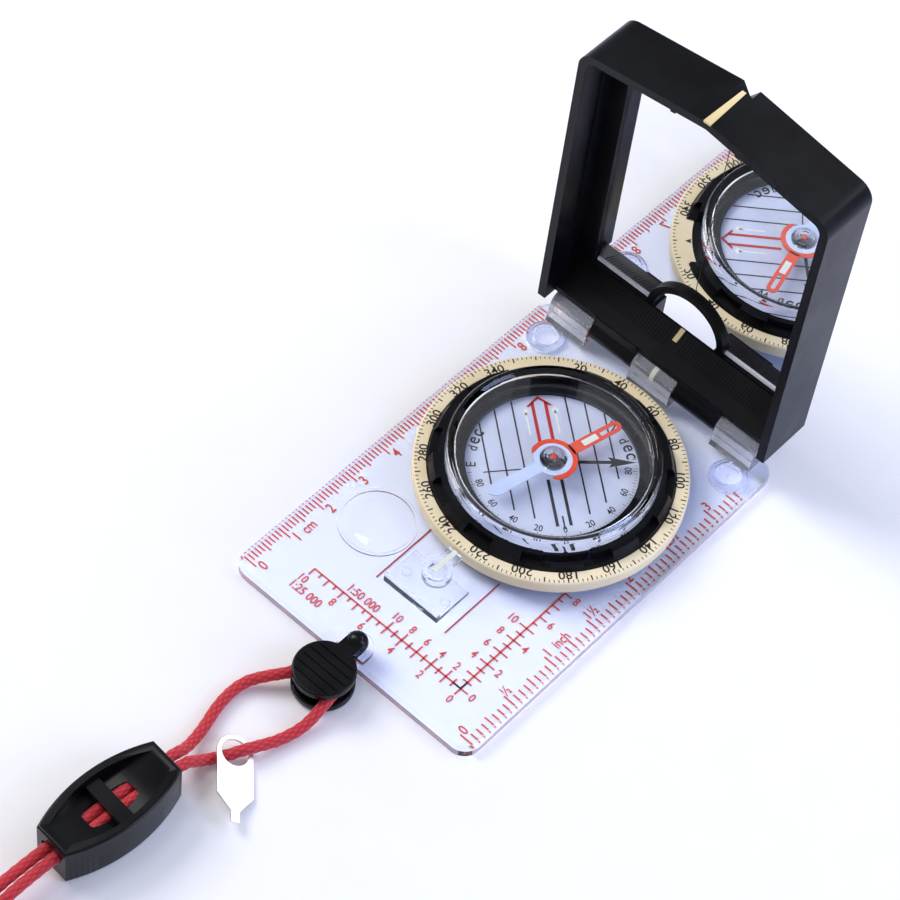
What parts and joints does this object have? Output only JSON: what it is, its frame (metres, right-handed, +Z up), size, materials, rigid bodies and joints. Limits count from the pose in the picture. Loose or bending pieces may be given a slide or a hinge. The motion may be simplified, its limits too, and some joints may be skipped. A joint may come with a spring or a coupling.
{
  "type": "baseplate compass",
  "caption": "Mirror-sighting baseplate compass: clear ruled plate, turning dial with needle and clinometer, hinged mirror lid, and a lanyard with clip, key tag and cord lock.",
  "frame": {"origin": "on the surface that the plate lies on, under the middle of the compass's footprint, lanyard left out", "axes": "+X from the centimetre edge to the inch edge, +Y from the lanyard end to the hinge, +Z up out of the printed face"},
  "size_m": [0.0666, 0.2403, 0.0903],
  "materials": {
    "clear_acrylic": "clear moulded acrylic",
    "clear_silicone": "clear silicone",
    "luminous": "pale luminous inlay",
    "luminous_cream": "cream luminous paint",
    "pin_steel": "ground pin",
    "magnet": "sintered magnet",
    "black_abs": "moulded, fine satin",
    "mirror": "silvered glass",
    "ivory_plastic": "moulded ivory, printed scale",
    "seal_rubber": "black rubber",
    "card_film": "white film with printed lines",
    "brass": "turned brass",
    "black_paint": "thin painted foil",
    "orange_plastic": "orange-red plastic",
    "pale_plastic": "pale translucent plastic",
    "black_nylon": "moulded nylon",
    "nickel": "bright nickel plate",
    "red_cord": "woven polyester cord"
  },
  "bodies": {
    "plate": {"baseplate": "clear_acrylic", "grip_pads": "clear_silicone", "index_bracket": "clear_acrylic", "index_line": "luminous", "hinge_line": "luminous", "hinge_pin": "pin_steel"},
    "lid": {"lid_frame": "black_abs", "mirror": "mirror", "lid_sight_line": "luminous_cream", "lid_base_mark": "luminous_cream"},
    "dial": {"dial_ring": "ivory_plastic", "grip_ring": "black_abs", "capsule_cover": "clear_acrylic", "capsule_base": "clear_acrylic", "capsule_seal": "seal_rubber", "retainer_ring": "black_abs", "pivot_post": "pin_steel"},
    "declination": {"declination_ring": "black_abs", "orienting_disc": "card_film"},
    "pinion": {"declination_pinion": "brass"},
    "clinometer": {"clinometer_pointer": "black_paint"},
    "needle": {"needle_north": "orange_plastic", "needle_south": "pale_plastic", "needle_cap": "clear_acrylic", "needle_magnets": "magnet"},
    "lanyard": {"clip_lower": "black_nylon", "clip_upper": "black_nylon", "key_tag": "nickel", "cord_loop": "red_cord", "cord_tail_out": "red_cord", "cord_tail_back": "red_cord", "lanyard_coil": "red_cord", "coil_tie": "seal_rubber"},
    "slider": {"cord_slider": "black_nylon"}
  },
  "joints": [
    {"name": "lid_hinge", "type": "hinge", "parent": "plate", "child": "lid", "pos_m": [0, 0.04345, 0.0069], "axis": [1, 0, 0], "range_deg": [-90, 90]},
    {"name": "dial_turn", "type": "hinge", "parent": "plate", "child": "dial", "pos_m": [0, 0.00845, 0.0052], "axis": [0, 0, 1], "continuous": true},
    {"name": "declination_turn", "type": "hinge", "parent": "dial", "child": "declination", "pos_m": [0, 0.00845, 0.004], "axis": [0, 0, 1], "range_deg": [-25, 25]},
    {"name": "pinion_spin", "type": "hinge", "parent": "dial", "child": "pinion", "pos_m": [0.01144, -0.00185, 0.003], "axis": [0, 0, 1], "range_deg": [-200, 200]},
    {"name": "clinometer_swing", "type": "hinge", "parent": "dial", "child": "clinometer", "pos_m": [0, 0.00845, 0.0068], "axis": [0, 0, 1], "continuous": true},
    {"name": "needle_swing", "type": "hinge", "parent": "dial", "child": "needle", "pos_m": [0, 0.00845, 0.009], "axis": [0, 0, 1], "continuous": true},
    {"name": "clip_release", "type": "slide", "parent": "plate", "child": "lanyard", "axis": [0, -1, 0], "range_m": [0, 0.012]},
    {"name": "slider_slide", "type": "slide", "parent": "lanyard", "child": "slider", "axis": [-0.0802, -0.9968, 0], "range_m": [0, 0.009]}
  ],
  "couplings": [
    {"joint": "pinion_spin", "follows": "declination_turn", "ratio": 8}
  ]
}
